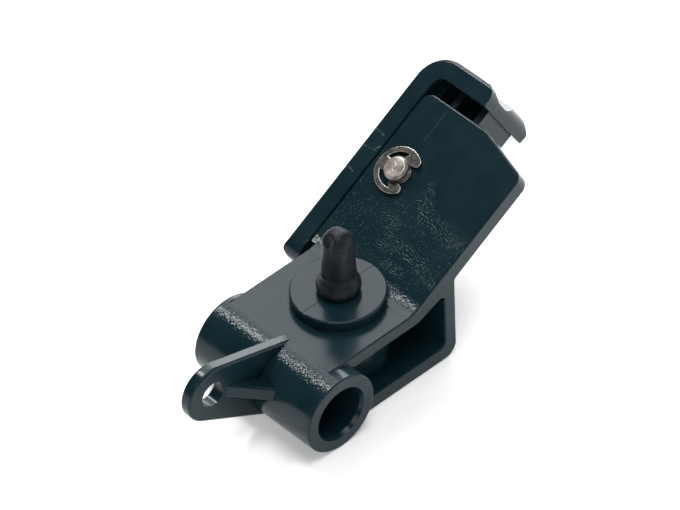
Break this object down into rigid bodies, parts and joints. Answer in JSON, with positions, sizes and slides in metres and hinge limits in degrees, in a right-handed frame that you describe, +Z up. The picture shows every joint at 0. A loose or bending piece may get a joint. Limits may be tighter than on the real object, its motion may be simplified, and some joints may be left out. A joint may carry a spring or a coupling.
{
  "type": "umbrella swivel bracket",
  "caption": "Moulded swivel bracket with a cross-tube bore, a crank ear, a raised boss and a spring-returned latch slider behind a sloped plate.",
  "frame": {"origin": "on the axis of the cross-tube bore, at the middle of the body's width", "axes": "+Y along the cross tube, +X from the tube back to the sloped plate, +Z up from the flat underside"},
  "size_m": [0.0748, 0.0291, 0.0314],
  "materials": {
    "green_plastic": "satin moulded",
    "green_plastic_slider": "satin moulded",
    "turned_steel": "turned, bright",
    "spring_steel": "stamped, oiled",
    "sleeve_steel": "turned",
    "washer_steel": "zinc plated",
    "spring_wire": "drawn wire",
    "black_rubber": "moulded, dusty"
  },
  "bodies": {
    "bracket": {"main_bracket": "green_plastic", "slot_sleeve": "sleeve_steel", "head_washer": "washer_steel", "return_spring": "spring_wire", "rubber_plug": "black_rubber"},
    "slider": {"latch_slider": "green_plastic_slider"},
    "pin": {"guide_pin": "turned_steel", "e_clip": "spring_steel"}
  },
  "joints": [
    {"name": "latch_slide", "type": "slide", "parent": "bracket", "child": "slider", "axis": [-0.866, 0, -0.5], "range_m": [0, 0.0025], "stiffness_N_per_m": 400, "springref_m": -0.004, "deforming": ["return_spring"]},
    {"name": "pin_turn", "type": "hinge", "parent": "bracket", "child": "pin", "pos_m": [0.03202, 0.0064, 0.0153], "axis": [-0.5, 0, 0.866], "continuous": true}
  ]
}
